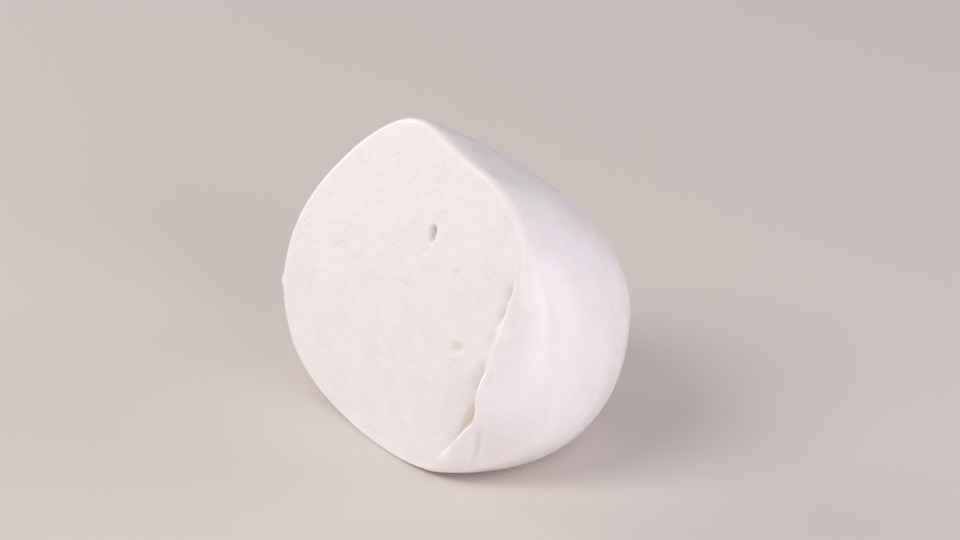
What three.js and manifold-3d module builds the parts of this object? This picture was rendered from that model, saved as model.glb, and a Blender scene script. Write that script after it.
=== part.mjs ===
// Half of a large fresh mozzarella ball: a smooth white skin round a cut face of ivory curd.
// It lies on its round skin with the cut face leaning back a little, as a half lies after the
// knife. At one side the knife has dragged a crescent of skin over the edge of the cut face.
//
// Millimetres, +Z up. The origin is on the ground, under the middle of the part's box. The cut
// face looks towards -Y and upwards, X runs across it, and the round skin bulges towards +Y.
//
// The form is worked out in the ball's own axes: x across the cut face, y up it, z straight
// out of it, with zero at the ball's middle. It is one closed surface, drawn as rings from the
// middle of the cut face, over the rim and round the skin to the point furthest behind the cut.
// A spot on it has a place, the distance from the rim, below zero on the face and above zero on
// the skin, and an angle round the face.

import * as THREE from 'three';
import Module from 'manifold-3d';
import { mergeVertices } from 'three/addons/utils/BufferGeometryUtils.js';

const DEG = Math.PI / 180;

// ---- The ball and the cut -------------------------------------------------------------

const HALF_WIDTH = 55.2; // the ball is round when seen from above it
const HALF_HEIGHT = 39.3; // lower than wide: fresh cheese settles under its own weight
const CUT_DEPTH = 2.7; // the knife passed this far in front of the ball's middle
const FACE_CROWN = 0.9; // the cut face has relaxed to a slight crown
const RIM_BEND = 1.9; // the rim's round starts this far to each side of the edge

// The outline strays from an ellipse by a few shallow waves.
const OUTLINE_WAVES = [
  { lobes: 3, share: 0.022, turn: -43 * DEG },
  { lobes: 4, share: 0.026, turn: 37 * DEG },
  { lobes: 5, share: 0.018, turn: -21 * DEG },
];

// ---- How it lies ----------------------------------------------------------------------

const FACE_TILT = 18 * DEG; // the cut face leans back from upright
const FACE_ROLL = -1.8 * DEG; // and its long way dips to the right
const SAG = 7.1; // height of round skin pressed flat underneath
const FOOT_ROUNDING = 3.6; // half height of the bend from skin into the flat spot

// ---- Slow swells and hollows of the skin ----------------------------------------------
// Angles go round the face from level right, and 90 is straight up. `across` and `along` are
// half widths round the rim and away from it.

const SWELLS = [
  { angle: 114 * DEG, place: 0, across: 15, along: 11, height: 2.1 }, // drawn up by the knife
  { angle: 80 * DEG, place: 24, across: 26, along: 20, height: 1.5 },
  { angle: 15 * DEG, place: 36, across: 30, along: 22, height: -1.7 },
  { angle: 192 * DEG, place: 26, across: 22, along: 18, height: 1.3 },
  { angle: 150 * DEG, place: 46, across: 20, along: 16, height: -1.2 },
  { angle: 60 * DEG, place: 68, across: 16, along: 18, height: 0.8 },
  { angle: -22 * DEG, place: 7, across: 8, along: 12, height: 1.0 }, // below the lip
];
const SWELL_FADE = 20; // they die out over this much of the face inside the rim
const SWELL_TURN = 6; // past the rim they rise off the skin, and at it they widen the face

// ---- The lip --------------------------------------------------------------------------
// A crescent of skin that lies over the face's right edge. It reaches furthest in at its
// middle, stands proud of the face and runs out into the skin past the rim. Its lower half is
// thick and steep at the edge, its upper half thin.

const LIP_MIDDLE = -7 * DEG;
const LIP_SPREAD = 35 * DEG; // half width of the bell that its inner edge follows
const LIP_REACH = 12.8; // from the rim to the inner edge at the middle
const BITE_ANGLE = -20.5 * DEG; // here the edge falls short
const BITE_SPREAD = 9.5 * DEG;
const BITE_DEPTH = 4.8;
const LIP_FROM = -46 * DEG;
const LIP_FROM_FADE = 23 * DEG;
const LIP_TO = 38 * DEG;
const LIP_TO_FADE = 34 * DEG; // and thins out slowly at the top
const LIP_THICKNESS = { below: 2.6, above: 1.3 };
const LIP_EDGE = { below: 2.4, above: 5.5 }; // from the crease to the lip's full thickness
const LIP_THINS = { from: -16 * DEG, to: -4 * DEG };
const LIP_RUN_OUT = { from: -6, to: 12 }; // between these places it sinks into the skin

// The round of the rim is held by four places: two on the face and two on the skin.
const RIM_HOLDS = [-RIM_BEND, -RIM_BEND / 3, RIM_BEND / 3, RIM_BEND];
const LIP_HOLDS = [-11, -7.5, 5.2, 14.5]; // the lip turns over in a long curve

// The crease between the lip's inner edge and the face gapes towards its lower end.
const CREASE_FROM = -44 * DEG;
const CREASE_FROM_FADE = 26 * DEG;
const CREASE_TO = -5 * DEG;
const CREASE_TO_FADE = 11 * DEG;
const CREASE_DEPTH = 2.5;
const CREASE_ON_FACE = { narrow: 1.4, gaping: 3.9 }; // half widths to each side of it
const CREASE_UNDER_LIP = { steep: 1.5, below: 3.2 };
const CREASE_STEEPENS = { from: -38 * DEG, to: -25 * DEG };

// The face dips beside the lower end of the crease.
const DIP_ANGLE = -30 * DEG;
const DIP_SPREAD = 15 * DEG;
const DIP_INSIDE_CREASE = 4.0;
const DIP_HALF_WIDTH = 4.5;
const DIP_DEPTH = 0.5;

// A fold where the skin tucks under below the lip's end.
const FOLD_ANGLE = -28.4 * DEG;
const FOLD_SPREAD = 3.0 * DEG;
const FOLD_PLACE = 1.4;
const FOLD_HALF_LENGTH = 3.0;
const FOLD_DEPTH = 0.8;

// ---- The eyes: small holes in the curd that the cut opened ----------------------------
// x and y are across and up the face on level axes, turn is the long way's angle.

const EYES = [
  { x: 3.6, y: 17.8, length: 4.6, width: 3.6, depth: 3.2, turn: -54 * DEG },
  { x: 3.2, y: 12.9, length: 4.0, width: 1.8, depth: 0.4, turn: 10 * DEG },
  { x: 18.3, y: 12.5, length: 3.8, width: 2.8, depth: 0.4, turn: 25 * DEG },
  { x: 27.6, y: -3.4, length: 6.2, width: 3.2, depth: 0.5, turn: 8 * DEG },
];

// ---- The mesh -------------------------------------------------------------------------

const COLUMNS = 84;
const RING_GAP = 1.25; // between rings beside the rim
const CREASE_RING = 10; // the ring this far inside the rim is drawn along the crease
const CREASE_PULL = 16; // and takes its neighbours with it over this distance inwards
const RING_GROWTH = 1.25; // each gap over the one before it, past the fine stretch
const RING_WIDEST = 6.0;
const FINE_ON_FACE = 16; // the fine stretch takes in the crease
const FINE_ON_SKIN = 5;
const EYE_SIDES = 14;
const EYE_RINGS = 10;

// ---- Helpers --------------------------------------------------------------------------

const bell = (distance, halfWidth) => Math.exp(-((distance / halfWidth) ** 2));

function smooth(from, to, value) {
  const share = Math.min(Math.max((value - from) / (to - from), 0), 1);
  return share * share * (3 - 2 * share);
}

const { lerp } = THREE.MathUtils;

// The same turn round the face, between -180 and 180 degrees.
const wrap = (angle) => Math.atan2(Math.sin(angle), Math.cos(angle));

// An angle in the ball's own axes, seen level.
const levelled = (angle) => wrap(angle + FACE_ROLL);

// ---- The lip's two edges ---------------------------------------------------------------

// 1 along the lip, falling to 0 at its two ends.
function lipLength(level) {
  const begun = smooth(LIP_FROM, LIP_FROM + LIP_FROM_FADE, level);
  const ended = smooth(LIP_TO - LIP_TO_FADE, LIP_TO, level);
  return begun * (1 - ended);
}

const lipBell = (level) => bell(level - LIP_MIDDLE, LIP_SPREAD);

function innerEdge(level) {
  return BITE_DEPTH * bell(level - BITE_ANGLE, BITE_SPREAD) - LIP_REACH * lipBell(level);
}

// ---- Outline and section --------------------------------------------------------------

// From the middle to the skin in the ball's widest section.
function outlineRadius(angle) {
  const ellipse = Math.hypot(Math.cos(angle) / HALF_WIDTH, Math.sin(angle) / HALF_HEIGHT);
  const waves = OUTLINE_WAVES.map(({ lobes, share, turn }) => share * Math.cos(lobes * (angle - turn)));
  return waves.reduce((sum, wave) => sum + wave, 1) / ellipse;
}

// Front to back the skin follows a circle, and the cut plane meets it at this turn.
const CUT_TURN = Math.asin(CUT_DEPTH / HALF_WIDTH);
const FACE_LENGTH = ((HALF_WIDTH + HALF_HEIGHT) / 2) * Math.cos(CUT_TURN);
const SKIN_LENGTH = HALF_WIDTH * (Math.PI / 2 + CUT_TURN);

// Both give [distance from the ball's long axis, height out of the face].
function onFace(place, outline) {
  const share = 1 + place / FACE_LENGTH;
  return [outline * Math.cos(CUT_TURN) * share, CUT_DEPTH + FACE_CROWN * (1 - share * share)];
}

function onSkin(place, outline) {
  const turn = place / HALF_WIDTH - CUT_TURN;
  return [outline * Math.cos(turn), -HALF_WIDTH * Math.sin(turn)];
}

// Between the outer two of its four holds the rim is a curve that leaves face and skin smoothly.
function section(place, outline, holds) {
  if (place <= holds[0]) {
    return onFace(place, outline);
  }
  if (place >= holds[3]) {
    return onSkin(place, outline);
  }
  const share = (place - holds[0]) / (holds[3] - holds[0]);
  const points = [
    onFace(holds[0], outline),
    onFace(holds[1], outline),
    onSkin(holds[2], outline),
    onSkin(holds[3], outline),
  ].map(([radius, height]) => new THREE.Vector2(radius, height));
  return new THREE.CubicBezierCurve(...points).getPoint(share).toArray();
}

function smoothPoint({ place, angle }) {
  const onLip = lipLength(levelled(angle));
  const holds = RIM_HOLDS.map((hold, index) => lerp(hold, LIP_HOLDS[index], onLip));
  const [radius, height] = section(place, outlineRadius(angle), holds);
  return new THREE.Vector3(radius * Math.cos(angle), radius * Math.sin(angle), height);
}

// ---- Relief ---------------------------------------------------------------------------

function swellHeight(place, level, radius) {
  const heights = SWELLS.map((swell) => {
    const across = wrap(level - swell.angle) * radius;
    return swell.height * bell(across, swell.across) * bell(place - swell.place, swell.along);
  });
  return heights.reduce((sum, height) => sum + height, 0) * smooth(-SWELL_FADE, 0, place);
}

function creaseGape(level) {
  const begun = smooth(CREASE_FROM, CREASE_FROM + CREASE_FROM_FADE, level);
  return begun * (1 - smooth(CREASE_TO - CREASE_TO_FADE, CREASE_TO, level));
}

function creaseDepth(pastCrease, level) {
  const gape = creaseGape(level);
  const faceSide = lerp(CREASE_ON_FACE.narrow, CREASE_ON_FACE.gaping, gape);
  const steepness = smooth(CREASE_STEEPENS.from, CREASE_STEEPENS.to, level);
  const lipSide = lerp(CREASE_UNDER_LIP.below, CREASE_UNDER_LIP.steep, steepness);
  return CREASE_DEPTH * gape * bell(pastCrease, pastCrease < 0 ? faceSide : lipSide);
}

function lipHeight(place, level) {
  const pastCrease = place - innerEdge(level);
  const thin = smooth(LIP_THINS.from, LIP_THINS.to, level);
  const thickness = lerp(LIP_THICKNESS.below, LIP_THICKNESS.above, thin);
  const edge = lerp(LIP_EDGE.below, LIP_EDGE.above, thin);
  const lipWidth = smooth(0, edge, pastCrease) * (1 - smooth(LIP_RUN_OUT.from, LIP_RUN_OUT.to, place));
  const dip = bell(level - DIP_ANGLE, DIP_SPREAD) * bell(pastCrease + DIP_INSIDE_CREASE, DIP_HALF_WIDTH);
  const fold = bell(level - FOLD_ANGLE, FOLD_SPREAD) * bell(place - FOLD_PLACE, FOLD_HALF_LENGTH);
  return thickness * lipLength(level) * lipWidth
    - creaseDepth(pastCrease, level)
    - DIP_DEPTH * dip
    - FOLD_DEPTH * fold;
}

// ---- The closed surface, in the ball's axes -------------------------------------------

// Distances from the rim: even over the fine stretch, then growing, and short of `length`.
function ringPlaces(length, fineStretch) {
  const places = [];
  let gap = RING_GAP;
  let place = gap;
  while (place < length - gap / 2) {
    places.push(place);
    gap = place < fineStretch ? gap : Math.min(gap * RING_GROWTH, RING_WIDEST);
    place += gap;
  }
  return places;
}

function rings() {
  const face = ringPlaces(FACE_LENGTH, FINE_ON_FACE).map((place) => -place);
  return [...face.reverse(), 0, ...ringPlaces(SKIN_LENGTH, FINE_ON_SKIN)];
}

// Beside the lip the rings are drawn over, so that one of them follows the crease. The fourth
// root of the bell takes hold of the rings a little past the lip's two ends.
function drawnOver(place, angle) {
  const level = levelled(angle);
  const inwards = smooth(-CREASE_RING - CREASE_PULL, -CREASE_RING, place);
  const outwards = 1 - smooth(-CREASE_RING, 0, place);
  return place + inwards * outwards * lipBell(level) ** 0.25 * (innerEdge(level) + CREASE_RING);
}

function ringTriangles(ringCount) {
  const at = (ring, column) => 1 + ring * COLUMNS + (column % COLUMNS);
  const back = 1 + ringCount * COLUMNS;
  const triangles = [];
  for (let column = 0; column < COLUMNS; column += 1) {
    triangles.push(0, at(0, column), at(0, column + 1));
    triangles.push(back, at(ringCount - 1, column + 1), at(ringCount - 1, column));
    for (let ring = 0; ring + 1 < ringCount; ring += 1) {
      const near = [at(ring, column), at(ring, column + 1)];
      const far = [at(ring + 1, column), at(ring + 1, column + 1)];
      triangles.push(near[0], far[1], near[1]);
      triangles.push(near[0], far[0], far[1]);
    }
  }
  return triangles;
}

function ballGeometry() {
  const places = rings();
  const columns = Array.from({ length: COLUMNS }, (_, column) => (2 * Math.PI * column) / COLUMNS);
  const spots = [
    { place: -FACE_LENGTH, angle: 0 },
    ...places.flatMap((place) => columns.map((angle) => ({ place: drawnOver(place, angle), angle }))),
    { place: SKIN_LENGTH, angle: 0 },
  ];
  const points = spots.map(smoothPoint);

  const geometry = new THREE.BufferGeometry().setFromPoints(points);
  geometry.setIndex(ringTriangles(places.length));
  geometry.computeVertexNormals();

  const normals = geometry.getAttribute('normal');
  points.forEach((point, index) => {
    const { place, angle } = spots[index];
    const level = levelled(angle);
    const swell = swellHeight(place, level, Math.hypot(point.x, point.y));
    const offSkin = smooth(0, SWELL_TURN, place);
    const normal = new THREE.Vector3().fromBufferAttribute(normals, index);
    const outwards = new THREE.Vector3(Math.cos(angle), Math.sin(angle), 0);
    point.addScaledVector(normal, lipHeight(place, level) + swell * offSkin);
    point.addScaledVector(outwards, swell * (1 - offSkin));
  });
  return geometry.setFromPoints(points);
}

// ---- The eyes -------------------------------------------------------------------------

// An eye is half of an egg shape, pressed into the face.
function eyeGeometry(eye) {
  const crownedFace = CUT_DEPTH + FACE_CROWN * (1 - (Math.hypot(eye.x, eye.y) / FACE_LENGTH) ** 2);
  const geometry = new THREE.SphereGeometry(1, EYE_SIDES, EYE_RINGS);
  geometry.rotateX(Math.PI / 2);
  geometry.scale(eye.length / 2, eye.width / 2, eye.depth);
  geometry.rotateZ(eye.turn);
  geometry.translate(eye.x, eye.y, crownedFace);
  geometry.rotateZ(-FACE_ROLL);
  geometry.deleteAttribute('normal');
  geometry.deleteAttribute('uv');
  return mergeVertices(geometry);
}

const wasm = await Module();
wasm.setup();

function toSolid(geometry) {
  const vertProperties = new Float32Array(geometry.getAttribute('position').array);
  const triVerts = new Uint32Array(geometry.getIndex().array);
  return new wasm.Manifold(new wasm.Mesh({ numProp: 3, vertProperties, triVerts }));
}

function toGeometry(solid) {
  const mesh = solid.getMesh();
  const geometry = new THREE.BufferGeometry();
  geometry.setAttribute('position', new THREE.BufferAttribute(mesh.vertProperties, 3));
  geometry.setIndex(new THREE.BufferAttribute(mesh.triVerts, 1));
  return geometry;
}

// ---- Laying it down -------------------------------------------------------------------

// Flat below the ground, a soft bend up to FOOT_ROUNDING above it, and unchanged higher up.
function pressFlat(height) {
  if (height <= -FOOT_ROUNDING) {
    return 0;
  }
  if (height >= FOOT_ROUNDING) {
    return height;
  }
  return (height + FOOT_ROUNDING) ** 2 / (4 * FOOT_ROUNDING);
}

function layDown(geometry) {
  geometry.rotateZ(FACE_ROLL);
  geometry.rotateX(Math.PI / 2 - FACE_TILT);
  geometry.computeBoundingBox();
  geometry.translate(0, 0, -geometry.boundingBox.min.z - SAG);
  const position = geometry.getAttribute('position');
  for (let index = 0; index < position.count; index += 1) {
    position.setZ(index, pressFlat(position.getZ(index)));
  }
  geometry.computeBoundingBox();
  const middle = geometry.boundingBox.getCenter(new THREE.Vector3());
  geometry.translate(-middle.x, -middle.y, 0);
  geometry.computeVertexNormals();
}

// ---- The part -------------------------------------------------------------------------

const cheese = new THREE.MeshStandardMaterial({ color: 0xf1e6e6, roughness: 0.45, metalness: 0 });

function halfBall() {
  const ball = toSolid(ballGeometry());
  const opened = EYES.reduce((rest, eye) => rest.subtract(toSolid(eyeGeometry(eye))), ball);
  const geometry = toGeometry(opened);
  layDown(geometry);
  const mesh = new THREE.Mesh(geometry, cheese);
  mesh.name = 'half_ball';
  return mesh;
}

const group = new THREE.Group();
group.add(halfBall());

export default group;
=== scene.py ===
"""Half of a large fresh mozzarella ball, lying on its round skin with the cut face in front.

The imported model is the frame. Its plain solid is replaced by a finer surface of the same form,
with the skin's slow unevenness, the grain of the cut curd, the eyes, the lip of skin that the
knife dragged over the cut and the crease beside it. Blender's unit is the metre, and the sizes
below are written in millimetres times MM.

Two numbers say where a spot of the surface is. Its place is the way from the rim along the
surface, below 0 on the cut face and above 0 on the skin. Its angle goes round the face from the
right end, anticlockwise as seen from the front. The outline's waves are at angles of the ball's
own. All other angles are levels, as the half ball lies once it has rolled a little.
"""

import math

import bpy
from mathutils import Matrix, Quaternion, Vector


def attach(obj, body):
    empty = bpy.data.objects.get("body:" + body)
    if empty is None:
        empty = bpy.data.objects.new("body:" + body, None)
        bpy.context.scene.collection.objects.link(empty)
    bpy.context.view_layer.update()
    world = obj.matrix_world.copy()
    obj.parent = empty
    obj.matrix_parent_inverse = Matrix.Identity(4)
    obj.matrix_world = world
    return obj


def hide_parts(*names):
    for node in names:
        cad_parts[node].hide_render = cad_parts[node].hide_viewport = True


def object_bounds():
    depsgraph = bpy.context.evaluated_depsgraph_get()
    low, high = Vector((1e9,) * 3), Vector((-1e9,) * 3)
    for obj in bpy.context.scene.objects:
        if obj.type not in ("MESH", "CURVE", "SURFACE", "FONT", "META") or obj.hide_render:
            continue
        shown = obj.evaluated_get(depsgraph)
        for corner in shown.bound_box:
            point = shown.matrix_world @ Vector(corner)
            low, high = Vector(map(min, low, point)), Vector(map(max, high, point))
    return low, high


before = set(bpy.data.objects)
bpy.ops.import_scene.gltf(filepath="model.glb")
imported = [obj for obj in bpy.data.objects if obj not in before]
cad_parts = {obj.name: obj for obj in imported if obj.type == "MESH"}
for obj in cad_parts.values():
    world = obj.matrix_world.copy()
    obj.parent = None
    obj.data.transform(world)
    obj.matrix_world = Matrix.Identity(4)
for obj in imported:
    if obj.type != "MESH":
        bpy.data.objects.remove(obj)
cad_low, cad_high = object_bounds()

MM = 0.001
DEG = math.pi / 180

# ---- The ball and the cut ----------------------------------------------------------------

HALF_WIDTH = 55.2 * MM
HALF_HEIGHT = 39.3 * MM
CUT_DEPTH = 2.7 * MM  # the cut lies this far past the middle of the ball
FACE_CROWN = 0.9 * MM
RIM_BEND = 1.9 * MM  # the rim is rounded over this much of the face and of the skin

# Waves of the outline: lobes, share of the radius, turn.
OUTLINE_WAVES = [(3, 0.022, -43 * DEG), (4, 0.026, 37 * DEG), (5, 0.018, -21 * DEG)]

FACE_TILT = 18 * DEG  # leaning back from upright
FACE_ROLL = -1.8 * DEG
SAG = 7.1 * MM  # this much of the round underside is pressed flat
FOOT_ROUNDING = 3.6 * MM

CUT_TURN = math.asin(CUT_DEPTH / HALF_WIDTH)
FACE_LENGTH = (HALF_WIDTH + HALF_HEIGHT) / 2 * math.cos(CUT_TURN)
SKIN_LENGTH = HALF_WIDTH * (math.pi / 2 + CUT_TURN)
NEAR_AXIS = 1 * MM  # closer than this to the middle of the face, outwards means nothing

# Slow swells of the skin: angle, place, half width across and along, height.
SWELLS = [
    (114 * DEG, 0 * MM, 15 * MM, 11 * MM, 2.1 * MM),
    (80 * DEG, 24 * MM, 26 * MM, 20 * MM, 1.5 * MM),
    (15 * DEG, 36 * MM, 30 * MM, 22 * MM, -1.7 * MM),
    (192 * DEG, 26 * MM, 22 * MM, 18 * MM, 1.3 * MM),
    (150 * DEG, 46 * MM, 20 * MM, 16 * MM, -1.2 * MM),
    (60 * DEG, 68 * MM, 16 * MM, 18 * MM, 0.8 * MM),
    (-22 * DEG, 7 * MM, 8 * MM, 12 * MM, 1.0 * MM),
]
SWELL_FADE = 20 * MM  # they die out over this much of the face
SWELL_TURN = 6 * MM  # past the rim they rise off the skin, and at it they widen the face

# ---- The lip -----------------------------------------------------------------------------

LIP_MIDDLE, LIP_SPREAD, LIP_REACH = -7 * DEG, 35 * DEG, 12.8 * MM
BITE_ANGLE, BITE_SPREAD, BITE_DEPTH = -20.5 * DEG, 9.5 * DEG, 4.8 * MM  # where it falls short
LIP_FROM, LIP_FROM_FADE = -46 * DEG, 23 * DEG
LIP_TO, LIP_TO_FADE = 38 * DEG, 34 * DEG
LIP_THICKNESS, LIP_THICKNESS_ABOVE = 2.6 * MM, 1.3 * MM
LIP_EDGE, LIP_EDGE_ABOVE = 2.4 * MM, 5.5 * MM  # from the crease to the full thickness
LIP_THINS = -16 * DEG, -4 * DEG  # between these angles it goes over from thick to thin
LIP_RUN_OUT = -6 * MM, 12 * MM  # between these places it sinks into the skin

# A section turns over the rim in one curve, which is tight at a bare rim and long at the lip.
# Four places hold the curve: two on the face, two on the skin.
RIM_HOLDS = -RIM_BEND, -RIM_BEND / 3, RIM_BEND / 3, RIM_BEND
LIP_HOLDS = -11 * MM, -7.5 * MM, 5.2 * MM, 14.5 * MM

# Between these places curd gives way to skin, and between these distances past the crease the
# lip's own skin covers the curd.
CURD_ENDS = -RIM_BEND, 0.4 * RIM_BEND
LIP_COVERS = 0.0, LIP_EDGE / 2

# ---- The crease and the small forms round it ---------------------------------------------

# The crease runs along the lip's inner edge and gapes at its lower end, where it is widest on
# the side of the face.
CREASE_FROM, CREASE_FROM_FADE = -44 * DEG, 26 * DEG
CREASE_TO, CREASE_TO_FADE = -5 * DEG, 11 * DEG
CREASE_DEPTH = 2.5 * MM
CREASE_ON_FACE, CREASE_ON_FACE_ABOVE = 3.9 * MM, 1.4 * MM  # half widths on the face's side
CREASE_UNDER_LIP, CREASE_UNDER_LIP_BELOW = 1.5 * MM, 3.2 * MM  # and on the lip's side
CREASE_STEEPENS = -38 * DEG, -25 * DEG  # between these angles its wall under the lip does
CREASE_WHEY_AND_SHADE = 0.45  # whey and painted shade stand in it from about this share of its depth

# From its upper end on it shows as short nicks: angle, spread, share of the depth.
NICKS = [(20.5 * DEG, 3.5 * DEG, 0.28), (13.5 * DEG, 2.8 * DEG, 0.36), (-7 * DEG, 3 * DEG, 0.26)]
NICK_HALF_WIDTH = 1.6 * MM

# Lumps of curd on the lip: angle, place, half width across and along, height.
LUMPS = [
    (19 * DEG, -0.8 * MM, 4.0 * MM, 1.8 * MM, 0.45 * MM),
    (7 * DEG, -4.0 * MM, 1.8 * MM, 1.7 * MM, 0.55 * MM),
    (-3.5 * DEG, -5.6 * MM, 2.6 * MM, 1.6 * MM, 0.65 * MM),
]

# A welt on the lip beside the crease, measured from the crease.
WELT_PLACE, WELT_HALF_WIDTH, WELT_HEIGHT = 3.4 * MM, 2.2 * MM, 0.4 * MM

# A shallow dip of the face inside the crease.
DIP_ANGLE, DIP_SPREAD = -30 * DEG, 15 * DEG
DIP_INSIDE_CREASE, DIP_HALF_WIDTH, DIP_DEPTH = 4.0 * MM, 4.5 * MM, 0.5 * MM

# A short fold of the skin at the lip's lower end.
FOLD_ANGLE, FOLD_SPREAD = -25.6 * DEG, 2.2 * DEG
FOLD_LEAN = -2000 * DEG  # per metre past the rim
FOLD_PLACE, FOLD_HALF_LENGTH, FOLD_DEPTH = 1.4 * MM, 2.6 * MM, 0.8 * MM

# A pinch of skin that stands out at the left end of the rim.
NUB_ANGLE, NUB_SIZE, NUB_HEIGHT = -164.3 * DEG, 1.5 * MM, 1.1 * MM

# ---- The eyes, the unevenness and the grain ----------------------------------------------

# The eyes: x across and y up the face, length, width, turn of the long way, depth, and how
# moist they look, the same share also painting shade into them.
EYES = [
    (3.6 * MM, 18.2 * MM, 3.3 * MM, 2.7 * MM, -54 * DEG, 3.2 * MM, 0.9),
    (3.2 * MM, 13.1 * MM, 4.2 * MM, 1.6 * MM, 10 * DEG, 0.12 * MM, 0.4),
    (18.3 * MM, 12.7 * MM, 3.8 * MM, 2.6 * MM, 25 * DEG, 0.2 * MM, 0.4),
    (27.6 * MM, -3.2 * MM, 6.4 * MM, 2.8 * MM, 8 * DEG, 0.3 * MM, 0.9),
    (38.6 * MM, 3.4 * MM, 4.0 * MM, 2.8 * MM, 10 * DEG, 0.2 * MM, 0.5),
]
EYE_WALL = 0.1, 1.35  # it slopes between these shares of the half width
EYE_RAGGEDNESS, EYE_JAG_SIZE = 0.30, 2.2 * MM
EYE_TAIL = 1.5  # the knife drew their lower halves out by this factor

SKIN_UNEVENNESS = 0.22 * MM
BROAD_LUMP, NARROW_LUMP, NARROW_SHARE = 16 * MM, 5 * MM, 0.35
CURD_EVENNESS = 0.5  # the cut takes away this share of the unevenness
CURD_GRAIN, GRAIN_SIZE, GRAIN_DETAIL, GRAIN_ROUGHNESS = 0.10 * MM, 3.2 * MM, 3.0, 0.6

# Points along a side of the cube that the mesh is swept from, and the shares by which the mesh
# is drawn together towards the rim and towards the lip.
FINENESS = 128
TO_RIM, TO_LIP = 0.3, 0.35

SURFACE_SIZES = {
    "Half Width": HALF_WIDTH,
    "Half Height": HALF_HEIGHT,
    "Face Crown": FACE_CROWN,
    "Lip Reach": LIP_REACH,
    "Lip Thickness": LIP_THICKNESS,
    "Crease Depth": CREASE_DEPTH,
    "Skin Unevenness": SKIN_UNEVENNESS,
    "Curd Grain": CURD_GRAIN,
    "Sag": SAG,
    "Fineness": FINENESS,
}

# ---- The finish --------------------------------------------------------------------------

SKIN = {
    "Color": (0.880, 0.826, 0.822, 1.0),
    "Blotch Color": (0.862, 0.806, 0.796, 1.0),
    "Blotch Size": 12 * MM,
    "Strand Length": 14 * MM,
    "Strand Width": 2.6 * MM,
    "Strand Height": 0.25,
    "Pore Size": 2.6 * MM,
    "Pore Depth": 0.15,
    "Roughness": 0.36,
    "Roughness Spread": 0.10,
}

CURD = {
    "Color": (0.886, 0.830, 0.822, 1.0),
    "Blotch Color": (0.868, 0.808, 0.794, 1.0),
    "Blotch Size": 9 * MM,
    "Strand Length": 11 * MM,
    "Strand Width": 1.5 * MM,
    "Strand Height": 0.45,
    "Pore Size": 1.9 * MM,
    "Pore Depth": 0.55,
    "Roughness": 0.46,
    "Roughness Spread": 0.16,
}

BLOTCH_DETAIL, BLOTCH_ROUGHNESS = 2.0, 0.55
STRAND_DETAIL = 3.0
# Each of these rises from 0 to 1 between two values of the pattern that it reads.
PORE_WALL = 0.10, 0.32
PORES_IN_BLOTCH = 0.52, 0.66
TINT_RISE, TINT_FROM_BLOTCH, TINT_FROM_STRAND = (0.40, 0.66), 0.6, 0.4
MOISTURE_RISE, MOISTURE_FROM_EACH = (0.38, 0.62), 0.5

# Weight of the moist coat: what the skin has everywhere, and what moisture adds.
SKIN_COAT, SKIN_COAT_MOISTURE, CURD_COAT_MOISTURE = 0.15, 0.25, 0.35

# Whey's own tint, darker than the curd, which also paints shade into the crease and the eyes.
WHEY_AND_PAINTED_SHADE_COLOUR = (0.835, 0.760, 0.695, 1.0)
WHEY_ROUGHNESS = 0.24
WHEY_LEVELS = 0.7  # it fills this share of the bumps that it stands on
BUMP_HEIGHT = 0.12 * MM

# What is the same all over the cheese.
CHEESE_BODY = {
    "IOR": 1.38,
    "Coat Roughness": 0.16,
    "Coat IOR": 1.33,
    "Subsurface Weight": 1.0,
    "Subsurface Radius": (1.0, 0.82, 0.68),
    "Subsurface Scale": 1.6 * MM,
}

# ---- The camera, the light and the floor -------------------------------------------------

CAMERA_AZIMUTH = 58.0 * DEG
CAMERA_ELEVATION = 22.2 * DEG
CAMERA_ROLL = 1.85 * DEG
CAMERA_DISTANCE = 1.505
CAMERA_NEAR = 0.05
CAMERA_LENS = 228.0  # a camera's lens is in millimetres

WORLD_COLOUR, WORLD_STRENGTH = (0.96, 0.93, 1.0, 1.0), 0.32
SOFTBOX_SIZE, SOFTBOX_DISTANCE = 0.9, 1.4

# Name, azimuth, elevation, power in watts, colour.
SOFTBOXES = [
    ("Key", 0 * DEG, 45 * DEG, 8.8, (1.0, 0.995, 0.975)),
    ("Right side", 90 * DEG, 12 * DEG, 8.9, (0.90, 0.92, 1.0)),
    ("Right back", 150 * DEG, 12 * DEG, 5.6, (0.94, 0.91, 1.0)),
    ("Left side", 290 * DEG, 12 * DEG, 7.65, (0.99, 1.0, 0.985)),
]

FLOOR_SIZE = 8.0
FLOOR_GAP = 0.02 * MM  # it lies this far under the foot
FLOOR_COLOUR, FLOOR_ROUGHNESS = (0.78, 0.71, 0.65, 1), 0.6


# ---- Node trees written as arithmetic ----------------------------------------------------


class Wire:
    """A value in a node tree. Arithmetic on it adds the node that works the result out."""

    def __init__(self, socket):
        self.socket = socket

    def math(self, operation, *others):
        node = self.socket.id_data.nodes.new("ShaderNodeMath")
        node.operation = operation
        for socket, value in zip(node.inputs, (self, *others)):
            feed(socket, value)
        return Wire(node.outputs[0])

    def __add__(self, other):
        return self.math("ADD", other)

    def __radd__(self, other):
        return self.math("ADD", other)

    def __sub__(self, other):
        return self.math("SUBTRACT", other)

    def __rsub__(self, other):
        return self.math("MULTIPLY_ADD", -1.0, other)

    def __mul__(self, other):
        return self.math("MULTIPLY", other)

    def __rmul__(self, other):
        return self.math("MULTIPLY", other)

    def __truediv__(self, other):
        return self.math("DIVIDE", other)


def feed(socket, value):
    """Link a wire to a socket, or set a plain value on it."""
    if isinstance(value, Wire):
        socket.id_data.links.new(value.socket, socket)
    else:
        socket.default_value = value


def add_node(tree, kind, inputs=None, **settings):
    """Add a node with its settings, and its inputs fed by name or by number."""
    node = tree.nodes.new(kind)
    for name, value in settings.items():
        setattr(node, name, value)
    for name, value in (inputs or {}).items():
        feed(node.inputs[name], value)
    return node


def wire_from(tree, kind, output, inputs=None, **settings):
    """Add a node and take up one of its outputs."""
    return Wire(add_node(tree, kind, inputs, **settings).outputs[output])


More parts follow.
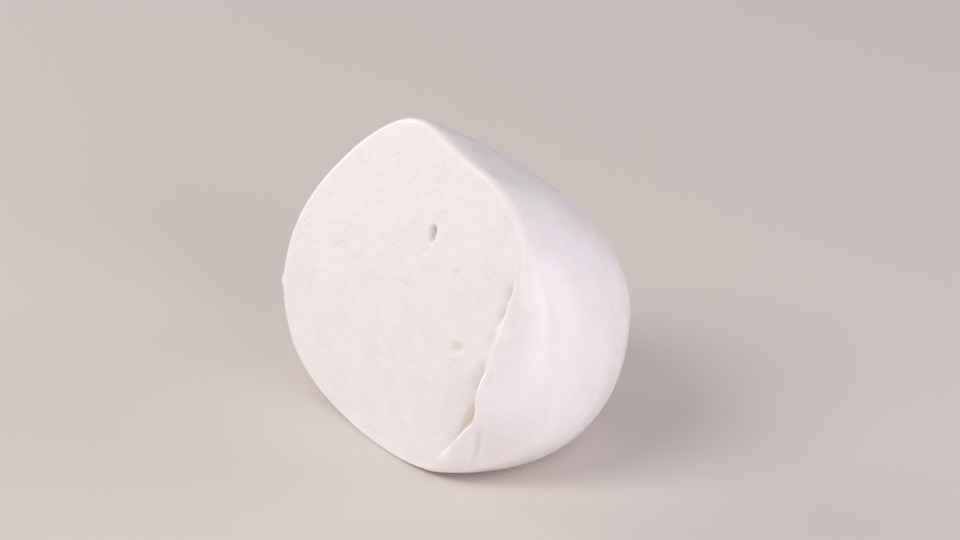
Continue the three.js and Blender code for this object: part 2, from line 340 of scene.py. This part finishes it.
def socket_kind(value):
    if isinstance(value, tuple):
        return "NodeSocketVector" if len(value) == 3 else "NodeSocketColor"
    return "NodeSocketInt" if isinstance(value, int) else "NodeSocketFloat"


def add_sockets(tree, in_out, values):
    """Named sockets of a group, each with the value it starts from."""
    for name, value in values.items():
        socket = tree.interface.new_socket(name, in_out=in_out, socket_type=socket_kind(value))
        socket.default_value = value


def group_inputs(tree):
    """A wire from each input of a group, by name."""
    node = add_node(tree, "NodeGroupInput")
    return {socket.name: Wire(socket) for socket in node.outputs if socket.name}


def cos(angle):
    return angle.math("COSINE")


def sin(angle):
    return angle.math("SINE")


def hypot(across, up):
    return (across * across + up * up).math("SQRT")


def total(wires):
    return sum(wires[1:], wires[0])


def bell(distance, half_width):
    """1 in the middle, falling away on both sides."""
    share = distance / half_width
    return (share * share * -1.0).math("EXPONENT")


def smooth(start, end, value):
    """0 up to `start`, then a soft rise to 1 at `end`."""
    return wire_from(
        value.socket.id_data,
        "ShaderNodeMapRange",
        "Result",
        {"Value": value, "From Min": start, "From Max": end},
        interpolation_type="SMOOTHSTEP",
    )


def blend(first, second, share):
    """`first` where share is 0, `second` where it is 1."""
    return share * (second - first) + first


def wrap(angle):
    """The same turn, between -180 and 180 degrees."""
    return angle.math("WRAP", math.pi, -math.pi)


def split(vector):
    """The three numbers of a vector."""
    node = add_node(vector.socket.id_data, "ShaderNodeSeparateXYZ", {0: vector})
    return [Wire(socket) for socket in node.outputs]


def join(tree, x, y, z):
    return wire_from(tree, "ShaderNodeCombineXYZ", 0, {0: x, 1: y, 2: z})


def scaled(vector, factor):
    inputs = {0: vector, "Scale": factor}
    tree = vector.socket.id_data
    return wire_from(tree, "ShaderNodeVectorMath", 0, inputs, operation="SCALE")


def vector_sum(first, second):
    inputs = {0: first, 1: second}
    tree = first.socket.id_data
    return wire_from(tree, "ShaderNodeVectorMath", 0, inputs, operation="ADD")


def noise_texture(vector, scale, detail, roughness=0.5):
    """Noise from 0 to 1, and the colour that goes with it."""
    inputs = {"Vector": vector, "Scale": scale, "Detail": detail, "Roughness": roughness}
    node = add_node(vector.socket.id_data, "ShaderNodeTexNoise", inputs)
    return Wire(node.outputs["Fac"]), Wire(node.outputs["Color"])


def noise(vector, size, detail=2.0, roughness=0.5):
    """Soft noise from -1 to 1 whose lumps are about `size` across."""
    return noise_texture(vector, 1 / size, detail, roughness)[0] * 2.0 - 1.0


def position_in(tree):
    return wire_from(tree, "GeometryNodeInputPosition", 0)


def stored(tree, name):
    """A number that was stored on the points."""
    inputs = {"Name": name}
    kind = "GeometryNodeInputNamedAttribute"
    return wire_from(tree, kind, "Attribute", inputs, data_type="FLOAT")


def changed(geometry, kind, settings=None, **inputs):
    """The geometry past one more node."""
    inputs = {"Geometry": geometry, **inputs}
    return wire_from(geometry.socket.id_data, kind, "Geometry", inputs, **(settings or {}))


def store(geometry, values):
    """Store named numbers on the points of the geometry."""
    settings = {"data_type": "FLOAT", "domain": "POINT"}
    for name, value in values.items():
        kind = "GeometryNodeStoreNamedAttribute"
        geometry = changed(geometry, kind, settings, Name=name, Value=value)
    return geometry


def box_corners(geometry):
    """The lowest and the highest corner of the geometry's box, as three numbers each."""
    box = add_node(geometry.socket.id_data, "GeometryNodeBoundBox", {"Geometry": geometry})
    return [split(Wire(box.outputs[corner])) for corner in ("Min", "Max")]


# ---- The form of the half ball -----------------------------------------------------------


def swept_cube(tree, fineness):
    """A cube that knows each point's place and angle on the half ball.

    Its six sides are swept out to the ball, so the mesh has no poles.
    """
    sides = {f"Vertices {axis}": fineness for axis in "XYZ"}
    cube = wire_from(tree, "GeometryNodeMeshCube", "Mesh", {"Size": (2.0, 2.0, 2.0), **sides})
    x, y, z = [(number * (math.pi / 4)).math("TANGENT") for number in split(position_in(tree))]

    # -1 in the middle of the face, 0 at the rim and 1 in the middle of the skin.
    past_rim = hypot(x, y).math("ARCTAN2", z) / (math.pi / 2) - 1.0
    past_rim = past_rim - sin(past_rim * math.pi) * (TO_RIM / math.pi)
    skin_share = past_rim.math("MAXIMUM", 0.0)
    place = past_rim * FACE_LENGTH + skin_share * skin_share * (SKIN_LENGTH - FACE_LENGTH)
    angle = y.math("ARCTAN2", x)
    angle = angle - sin(angle) * (1.0 - past_rim * past_rim) * TO_LIP
    return store(cube, {"place": place, "angle": angle})


def outline_radius(angle, half_width, half_height):
    across = cos(angle) / half_width
    up = sin(angle) / half_height
    waves = [share * cos((angle - turn) * float(lobes)) for lobes, share, turn in OUTLINE_WAVES]
    return (total(waves) + 1.0) / hypot(across, up)


def on_face(place, outline, crown):
    share = 1.0 + place / FACE_LENGTH
    return outline * math.cos(CUT_TURN) * share, (1.0 - share * share) * crown + CUT_DEPTH


def on_skin(place, outline):
    turn = place / HALF_WIDTH - CUT_TURN
    return outline * cos(turn), sin(turn) * -HALF_WIDTH


def section(place, outline, holds, crown):
    """Distance from the axis and height out of the face, rounded across the rim."""
    share = (place - holds[0]) / (holds[3] - holds[0])
    share = share.math("MAXIMUM", 0.0).math("MINIMUM", 1.0)
    rest = 1.0 - share
    weights = [
        rest * rest * rest,
        3.0 * share * rest * rest,
        3.0 * share * share * rest,
        share * share * share,
    ]
    points = [
        on_face(place.math("MINIMUM", holds[0]), outline, crown),
        on_face(holds[1], outline, crown),
        on_skin(holds[2], outline),
        on_skin(place.math("MAXIMUM", holds[3]), outline),
    ]
    return [
        total([weight * point[axis] for weight, point in zip(weights, points)]) for axis in (0, 1)
    ]


def lip_length(level):
    """1 along the lip, 0 where there is none."""
    begun = smooth(LIP_FROM, LIP_FROM + LIP_FROM_FADE, level)
    ended = smooth(LIP_TO - LIP_TO_FADE, LIP_TO, level)
    return begun * (1.0 - ended)


def smooth_form(geometry, place, angle, level, size):
    """The points brought onto the half ball, before any relief."""
    tree = geometry.socket.id_data
    holds = [blend(rim, lip, lip_length(level)) for rim, lip in zip(RIM_HOLDS, LIP_HOLDS)]
    outline = outline_radius(angle, size["Half Width"], size["Half Height"])
    radius, height = section(place, outline, holds, size["Face Crown"])
    spot = join(tree, radius * cos(angle), radius * sin(angle), height)
    return changed(geometry, "GeometryNodeSetPosition", Position=spot)


# ---- The relief --------------------------------------------------------------------------


def mounds(table, place, level, from_axis):
    """Height of all the low mounds of a table."""
    return total([
        height * bell(wrap(level - angle) * from_axis, across) * bell(place - middle, along)
        for angle, middle, across, along, height in table
    ])


def lip_edge_place(level, reach):
    """Place of the lip's inner edge, where the crease runs."""
    bite = bell(level - BITE_ANGLE, BITE_SPREAD) * BITE_DEPTH
    return bite - reach * bell(level - LIP_MIDDLE, LIP_SPREAD)


def lip_height(place, level, past_crease, thickness):
    """The lip rises beside the crease and sinks into the skin again."""
    thin = smooth(*LIP_THINS, level)
    risen = smooth(0.0, blend(LIP_EDGE, LIP_EDGE_ABOVE, thin), past_crease)
    not_sunk = 1.0 - smooth(*LIP_RUN_OUT, place)
    return lip_length(level) * risen * not_sunk * blend(thickness, LIP_THICKNESS_ABOVE, thin)


def crease_gape(level):
    """1 where the crease gapes at its lower end."""
    begun = smooth(CREASE_FROM, CREASE_FROM + CREASE_FROM_FADE, level)
    return begun * (1.0 - smooth(CREASE_TO - CREASE_TO_FADE, CREASE_TO, level))


def crease_cut(level, past_crease):
    """Depth of the crease and the nicks as a share of the crease's greatest."""
    gape = crease_gape(level)
    half_width = blend(CREASE_ON_FACE_ABOVE, CREASE_ON_FACE, gape)
    face_side = bell(past_crease.math("MINIMUM", 0.0), half_width)
    wall = blend(CREASE_UNDER_LIP_BELOW, CREASE_UNDER_LIP, smooth(*CREASE_STEEPENS, level))
    lip_side = bell(past_crease.math("MAXIMUM", 0.0), wall)
    nicks = total([bell(level - angle, spread) * share for angle, spread, share in NICKS])
    return gape * face_side * lip_side + nicks * bell(past_crease, NICK_HALF_WIDTH)


def welt_height(level, past_crease):
    across = bell(past_crease - WELT_PLACE, WELT_HALF_WIDTH)
    return crease_gape(level) * across * WELT_HEIGHT


def dip_depth(level, past_crease):
    across = bell(past_crease + DIP_INSIDE_CREASE, DIP_HALF_WIDTH)
    return bell(level - DIP_ANGLE, DIP_SPREAD) * across * DIP_DEPTH


def fold_depth(place, level):
    line = place * FOLD_LEAN + FOLD_ANGLE
    along = bell(place - FOLD_PLACE, FOLD_HALF_LENGTH)
    return bell(level - line, FOLD_SPREAD) * along * FOLD_DEPTH


def nub_height(place, level, from_axis):
    round_rim = wrap(level - NUB_ANGLE) * from_axis
    return bell(round_rim, NUB_SIZE) * bell(place, NUB_SIZE) * NUB_HEIGHT


def eye_pits(across, up, jags):
    """Depth of the eyes at a spot of the face, how moist they look, and how much shade is painted
    into them.
    """
    pits, whey_and_shade = [], []
    for x, y, length, width, turn, depth, whey_and_shade_share in EYES:
        aslant, rise = across - x, up - y
        rise = rise.math("MAXIMUM", rise / EYE_TAIL)
        along = aslant * math.cos(turn) + rise * math.sin(turn)
        aside = rise * math.cos(turn) - aslant * math.sin(turn)
        reach = hypot(along / (length / 2), aside / (width / 2)) + jags
        hole = 1.0 - smooth(*EYE_WALL, reach)
        pits.append(hole * depth)
        whey_and_shade.append(hole * whey_and_shade_share)
    return total(pits), total(whey_and_shade)


def with_relief(geometry, place, level, size):
    """The points moved by the relief.

    Each keeps how far it is cut curd, and how far whey stands on it in the crease and the eyes,
    where shade is painted as well.
    """
    tree = geometry.socket.id_data
    position = position_in(tree)
    ball_x, ball_y, _ = split(position)
    from_axis = hypot(ball_x, ball_y).math("MAXIMUM", NEAR_AXIS)
    past_crease = place - lip_edge_place(level, size["Lip Reach"])
    crease = crease_cut(level, past_crease)
    on_cut = 1.0 - smooth(*CURD_ENDS, place)
    curd = on_cut * (1.0 - smooth(*LIP_COVERS, past_crease) * lip_length(level))

    across = ball_x * math.cos(FACE_ROLL) - ball_y * math.sin(FACE_ROLL)
    up = ball_x * math.sin(FACE_ROLL) + ball_y * math.cos(FACE_ROLL)
    jags = noise(position, EYE_JAG_SIZE) * EYE_RAGGEDNESS
    pits, eye_whey_and_painted_shade = [amount * on_cut for amount in eye_pits(across, up, jags)]

    unevenness = noise(position, BROAD_LUMP, 1.0) + NARROW_SHARE * noise(position, NARROW_LUMP)
    grain = noise(position, GRAIN_SIZE, GRAIN_DETAIL, GRAIN_ROUGHNESS)
    height = lip_height(place, level, past_crease, size["Lip Thickness"])
    height = height + mounds(LUMPS, place, level, from_axis) + welt_height(level, past_crease)
    height = height - size["Crease Depth"] * crease - dip_depth(level, past_crease)
    height = height - fold_depth(place, level) - pits
    height = height + size["Skin Unevenness"] * unevenness * (1.0 - CURD_EVENNESS * curd)
    height = height + size["Curd Grain"] * grain * curd

    swell = mounds(SWELLS, place, level, from_axis) * smooth(-SWELL_FADE, 0.0, place)
    off_skin = smooth(0.0, SWELL_TURN, place)
    widening = swell * (1.0 - off_skin) + nub_height(place, level, from_axis)
    outwards = join(tree, ball_x / from_axis, ball_y / from_axis, 0.0)
    normal = wire_from(tree, "GeometryNodeInputNormal", 0)
    offset = vector_sum(scaled(normal, height + swell * off_skin), scaled(outwards, widening))

    # Whey and painted shade in the crease and the eyes: the material tints them darker.
    whey_and_painted_shade = 1.0 - (1.0 - eye_whey_and_painted_shade) * bell(crease, CREASE_WHEY_AND_SHADE)
    geometry = store(geometry, {"curd": curd, "whey_and_painted_shade": whey_and_painted_shade})
    return changed(geometry, "GeometryNodeSetPosition", Offset=offset)


# ---- The whole surface -------------------------------------------------------------------


def laid_down(geometry, sag):
    """Turned onto its skin, pressed flat underneath and brought over the origin."""
    tree = geometry.socket.id_data
    for turn in ((0.0, 0.0, FACE_ROLL), (math.pi / 2 - FACE_TILT, 0.0, 0.0)):
        geometry = changed(geometry, "GeometryNodeTransform", Rotation=turn)

    low, _ = box_corners(geometry)
    x, y, z = split(position_in(tree))
    height = z - low[2] - sag
    # A parabola leads from the flat foot into the round skin.
    bent = (height + FOOT_ROUNDING).math("MAXIMUM", 0.0)
    parabola = bent * bent / (4 * FOOT_ROUNDING)
    pressed = parabola.math("MINIMUM", height.math("MAXIMUM", FOOT_ROUNDING))
    spot = join(tree, x, y, pressed)
    geometry = changed(geometry, "GeometryNodeSetPosition", Position=spot)

    low, high = box_corners(geometry)
    x, y, _ = [(first + second) * -0.5 for first, second in zip(low, high)]
    return changed(geometry, "GeometryNodeTransform", Translation=join(tree, x, y, 0.0))


def half_ball_surface():
    """The node tree of the whole surface, with its sizes as named inputs."""
    tree = bpy.data.node_groups.new("Half ball surface", "GeometryNodeTree")
    tree.interface.new_socket("Geometry", in_out="OUTPUT", socket_type="NodeSocketGeometry")
    add_sockets(tree, "INPUT", SURFACE_SIZES)
    tree.interface.new_socket("Material", in_out="INPUT", socket_type="NodeSocketMaterial")
    size = group_inputs(tree)

    geometry = swept_cube(tree, size["Fineness"])
    place, angle = stored(tree, "place"), stored(tree, "angle")
    level = wrap(angle + FACE_ROLL)
    geometry = smooth_form(geometry, place, angle, level, size)
    geometry = with_relief(geometry, place, level, size)
    geometry = laid_down(geometry, size["Sag"])
    geometry = changed(geometry, "GeometryNodeSetShadeSmooth")
    geometry = changed(geometry, "GeometryNodeRealizeInstances")
    geometry = changed(geometry, "GeometryNodeSetMaterial", Material=size["Material"])
    add_node(tree, "NodeGroupOutput", {"Geometry": geometry})
    return tree


# ---- The material ------------------------------------------------------------------------


def mix_colour(tree, share, first, second):
    """`first` where share is 0, `second` where it is 1."""
    # A Mix node's sockets 0, 6 and 7 and its output 2 are the ones for colours.
    inputs = {0: share, 6: first, 7: second}
    return wire_from(tree, "ShaderNodeMix", 2, inputs, data_type="RGBA", clamp_factor=True)


def stretched_curd_group():
    """Blotches, strands, pores and moisture of stretched curd."""
    tree = bpy.data.node_groups.new("Stretched curd", "ShaderNodeTree")
    add_sockets(tree, "INPUT", {"Vector": (0.0, 0.0, 0.0), **SKIN})
    add_sockets(
        tree,
        "OUTPUT",
        {"Color": (1.0, 1.0, 1.0, 1.0), "Roughness": 0.4, "Height": 0.5, "Moisture": 0.5},
    )
    value = group_inputs(tree)
    vector = value["Vector"]

    blotch_scale = value["Blotch Size"].math("POWER", -1.0)
    blotch, wander = noise_texture(vector, blotch_scale, BLOTCH_DETAIL, BLOTCH_ROUGHNESS)
    shift = scaled(vector_sum(wander, join(tree, -0.5, -0.5, -0.5)), value["Blotch Size"])
    x, y, z = split(vector_sum(vector, shift))
    along = x / value["Strand Length"]
    across, deep = y / value["Strand Width"], z / value["Strand Width"]
    strand, _ = noise_texture(join(tree, along, across, deep), 1.0, STRAND_DETAIL)

    pore_inputs = {"Vector": vector, "Scale": value["Pore Size"].math("POWER", -1.0)}
    distance = wire_from(
        tree, "ShaderNodeTexVoronoi", "Distance", pore_inputs, feature="SMOOTH_F1"
    )
    pore = (1.0 - smooth(*PORE_WALL, distance)) * smooth(*PORES_IN_BLOTCH, blotch)

    tint = smooth(*TINT_RISE, blotch * TINT_FROM_BLOTCH + strand * TINT_FROM_STRAND)
    colour = mix_colour(tree, tint, value["Color"], value["Blotch Color"])
    moisture = smooth(*MOISTURE_RISE, blotch * MOISTURE_FROM_EACH + strand * MOISTURE_FROM_EACH)
    roughness = value["Roughness"] - (moisture - 0.5) * value["Roughness Spread"]
    height = (strand - 0.5) * value["Strand Height"] - pore * value["Pore Depth"]
    outputs = {"Color": colour, "Roughness": roughness, "Height": height, "Moisture": moisture}
    add_node(tree, "NodeGroupOutput", outputs)
    return tree


def cheese_material():
    """Moist skin round the ball, stretched curd where it is cut, and whey with painted shade in
    the hollows.
    """
    material = bpy.data.materials.new("Fresh cheese")
    material.use_nodes = True
    tree = material.node_tree
    tree.nodes.clear()

    spot = wire_from(tree, "ShaderNodeTexCoord", "Object")
    lean = (FACE_TILT - math.pi / 2, 0.0, 0.0)
    vector = wire_from(tree, "ShaderNodeMapping", "Vector", {"Vector": spot, "Rotation": lean})
    group = stretched_curd_group()
    finishes = []
    for look in (SKIN, CURD):
        node = add_node(tree, "ShaderNodeGroup", node_tree=group)
        for name, value in {"Vector": vector, **look}.items():
            feed(node.inputs[name], value)
        finishes.append({socket.name: Wire(socket) for socket in node.outputs})
    skin, curd = finishes

    cut = wire_from(tree, "ShaderNodeAttribute", "Fac", attribute_name="curd")
    whey_and_painted_shade = wire_from(tree, "ShaderNodeAttribute", "Fac", attribute_name="whey_and_painted_shade")
    colour = mix_colour(tree, cut, skin["Color"], curd["Color"])
    # The whey's darker tint paints shade into the crease and the eyes, besides tinting them.
    colour = mix_colour(tree, whey_and_painted_shade, colour, WHEY_AND_PAINTED_SHADE_COLOUR)
    roughness = blend(blend(skin["Roughness"], curd["Roughness"], cut), WHEY_ROUGHNESS, whey_and_painted_shade)
    height = blend(skin["Height"], curd["Height"], cut) * (1.0 - whey_and_painted_shade * WHEY_LEVELS)
    skin_coat = skin["Moisture"] * SKIN_COAT_MOISTURE + SKIN_COAT
    coat = blend(skin_coat, curd["Moisture"] * CURD_COAT_MOISTURE, cut)

    bump_inputs = {"Height": height, "Strength": 1.0, "Distance": BUMP_HEIGHT}
    shader_inputs = {
        "Base Color": colour,
        "Roughness": roughness,
        "Normal": wire_from(tree, "ShaderNodeBump", "Normal", bump_inputs),
        "Coat Weight": coat,
        **CHEESE_BODY,
    }
    shader = wire_from(tree, "ShaderNodeBsdfPrincipled", "BSDF", shader_inputs)
    add_node(tree, "ShaderNodeOutputMaterial", {"Surface": shader})
    return material


# ---- Building the scene ------------------------------------------------------------------


def mesh_from_tree(name, tree, inputs):
    """Run a geometry tree once and keep its result as a plain mesh object."""
    seed = bpy.data.meshes.new(name)
    piece = bpy.data.objects.new(name, seed)
    bpy.context.scene.collection.objects.link(piece)
    modifier = piece.modifiers.new("Surface", "NODES")
    modifier.node_group = tree
    for item in tree.interface.items_tree:
        if item.in_out == "INPUT" and item.name in inputs:
            modifier[item.identifier] = inputs[item.name]
    depsgraph = bpy.context.evaluated_depsgraph_get()
    mesh = bpy.data.meshes.new_from_object(piece.evaluated_get(depsgraph))
    mesh.name = name
    piece.modifiers.remove(modifier)
    piece.data = mesh
    return piece


def direction(azimuth, elevation):
    """Towards a place round the object. Azimuth 0 is in front of the cut face."""
    level = math.cos(elevation)
    return Vector((math.sin(azimuth) * level, -math.cos(azimuth) * level, math.sin(elevation)))


def add_camera(target):
    camera = bpy.data.objects.new("Camera", bpy.data.cameras.new("Camera"))
    bpy.context.scene.collection.objects.link(camera)
    back = direction(CAMERA_AZIMUTH, CAMERA_ELEVATION)
    camera.location = target + back * CAMERA_DISTANCE
    camera.rotation_mode = "QUATERNION"
    camera.rotation_quaternion = Quaternion(back, CAMERA_ROLL) @ (-back).to_track_quat("-Z", "Y")
    camera.data.lens = CAMERA_LENS
    camera.data.clip_start = CAMERA_NEAR
    bpy.context.scene.camera = camera


def add_softbox(name, azimuth, elevation, power, colour, target):
    light = bpy.data.lights.new(name, "AREA")
    light.shape = "DISK"
    light.size = SOFTBOX_SIZE
    light.energy = power
    light.color = colour
    box = bpy.data.objects.new(name, light)
    bpy.context.scene.collection.objects.link(box)
    back = direction(azimuth, elevation)
    box.location = target + back * SOFTBOX_DISTANCE
    box.rotation_mode = "QUATERNION"
    box.rotation_quaternion = (-back).to_track_quat("-Z", "Y")


def add_floor():
    bpy.ops.mesh.primitive_plane_add(size=FLOOR_SIZE, location=(0, 0, -FLOOR_GAP))
    floor = bpy.context.object
    floor.name = "floor"
    material = bpy.data.materials.new("Pale floor")
    material.use_nodes = True
    shader = material.node_tree.nodes["Principled BSDF"]
    shader.inputs["Base Color"].default_value = FLOOR_COLOUR
    shader.inputs["Roughness"].default_value = FLOOR_ROUGHNESS
    floor.data.materials.append(material)


def add_world():
    world = bpy.data.worlds.new("Studio")
    bpy.context.scene.world = world
    world.use_nodes = True
    background = world.node_tree.nodes["Background"]
    background.inputs["Color"].default_value = WORLD_COLOUR
    background.inputs["Strength"].default_value = WORLD_STRENGTH


cheese = mesh_from_tree("mozzarella_half", half_ball_surface(), {"Material": cheese_material()})
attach(cheese, "root")
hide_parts("half_ball")

middle = (cad_low + cad_high) / 2
add_camera(middle)
add_floor()
add_world()
for softbox in SOFTBOXES:
    add_softbox(*softbox, middle)
bpy.context.scene.view_settings.view_transform = "Standard"
